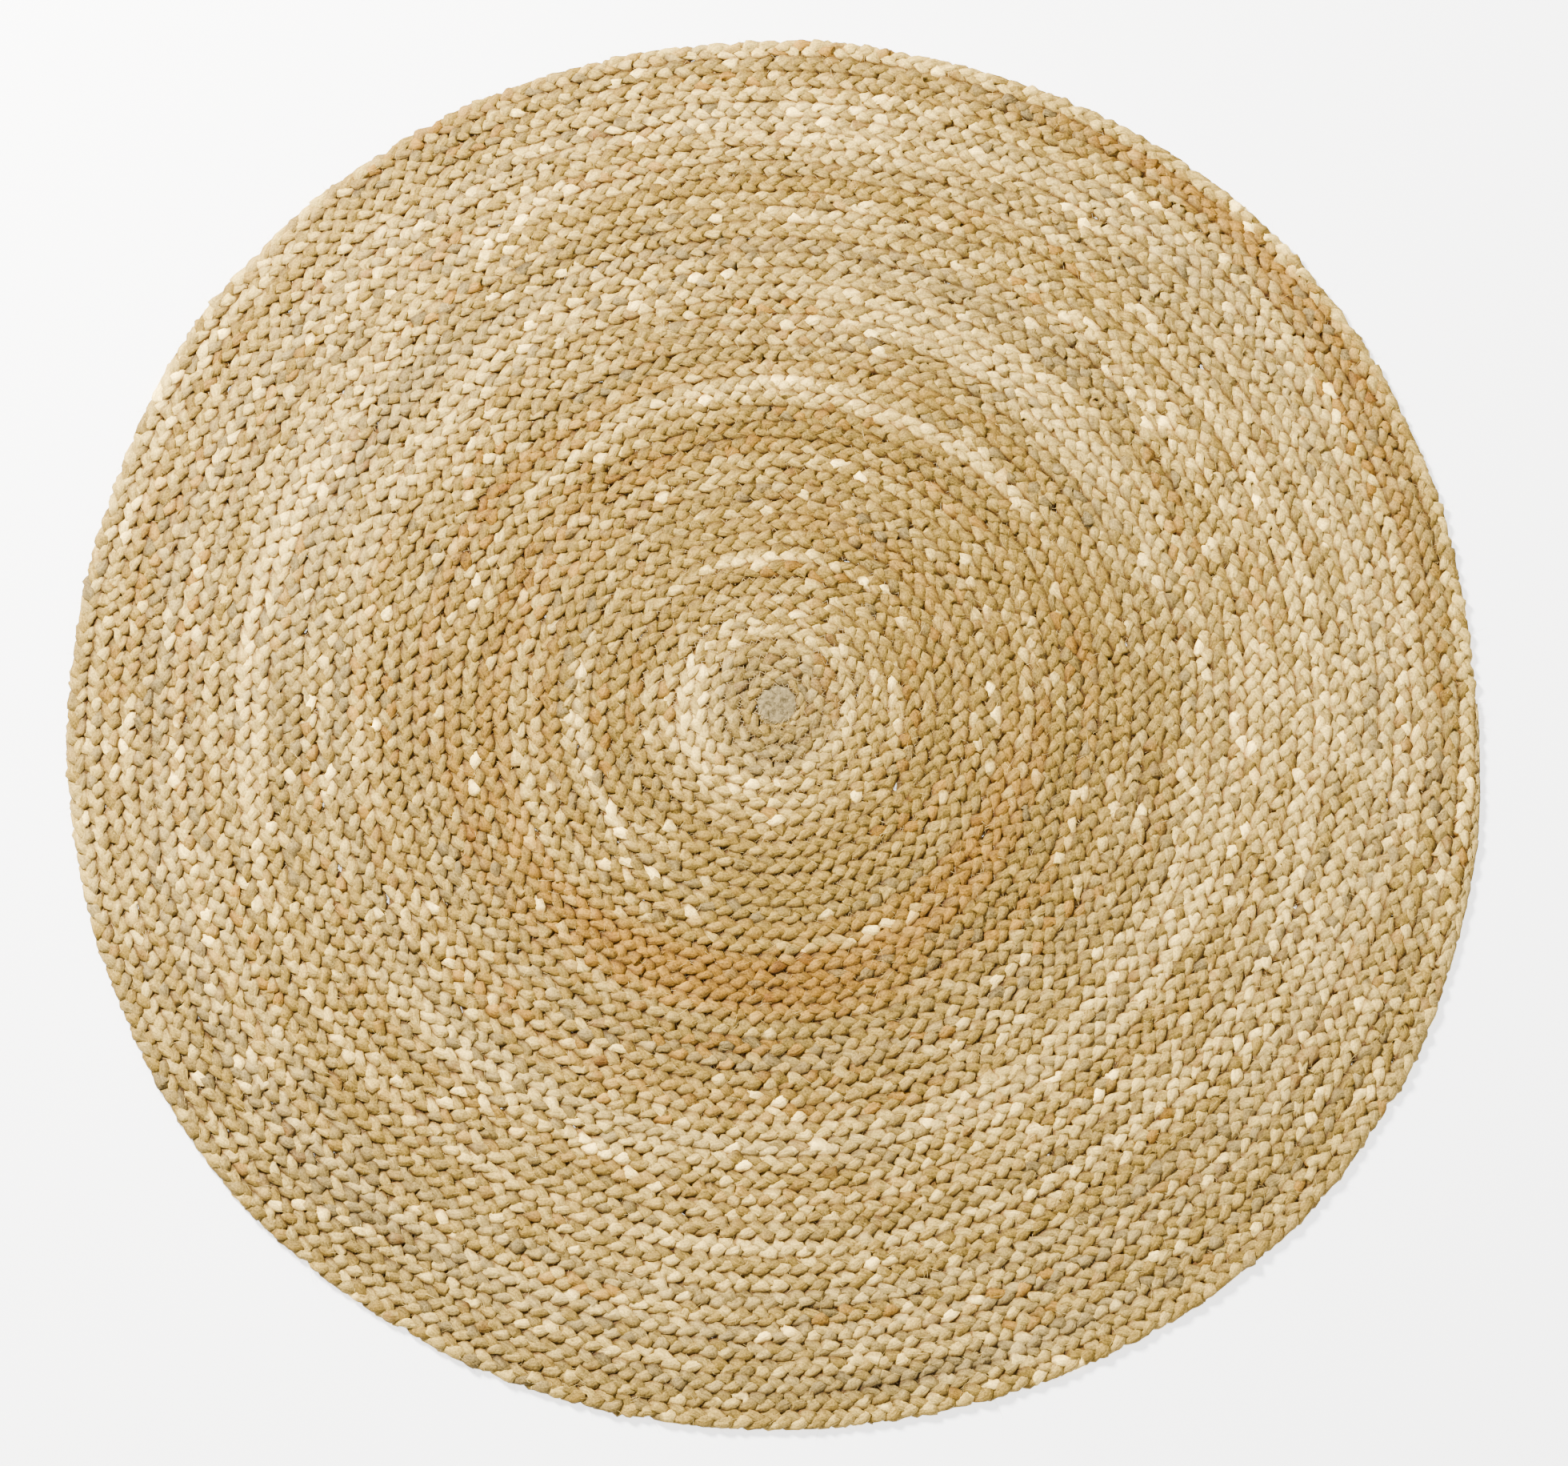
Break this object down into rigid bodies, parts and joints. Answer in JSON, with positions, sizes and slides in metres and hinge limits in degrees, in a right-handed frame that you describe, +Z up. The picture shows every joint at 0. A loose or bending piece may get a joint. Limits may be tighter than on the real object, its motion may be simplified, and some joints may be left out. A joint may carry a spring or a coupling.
{
  "type": "area rug",
  "caption": "Round flat rug of plaited jute, wound in a spiral from a felted centre button and sewn turn to turn with a zigzag lockstitch",
  "frame": {"origin": "Middle of the rug's outline, on the face that meets the floor", "axes": "+Z is up, out of the face that is walked on. +X points to where the plait's tail ends on the rim"},
  "size_m": [1.4858, 1.491, 0.009],
  "materials": {
    "jute": "undyed plaited jute, matt with a slight sheen along the fibres",
    "felt": "matted jute fibre",
    "thread": "undyed sewing thread"
  },
  "bodies": {
    "root": {"centre_button": "felt", "braid_length_01": "jute", "braid_length_02": "jute", "braid_length_03": "jute", "braid_length_04": "jute", "braid_length_05": "jute", "braid_length_06": "jute", "braid_length_07": "jute", "braid_length_08": "jute", "braid_length_09": "jute", "braid_length_10": "jute", "needle_thread": "thread", "bobbin_thread": "thread"}
  },
  "joints": []
}
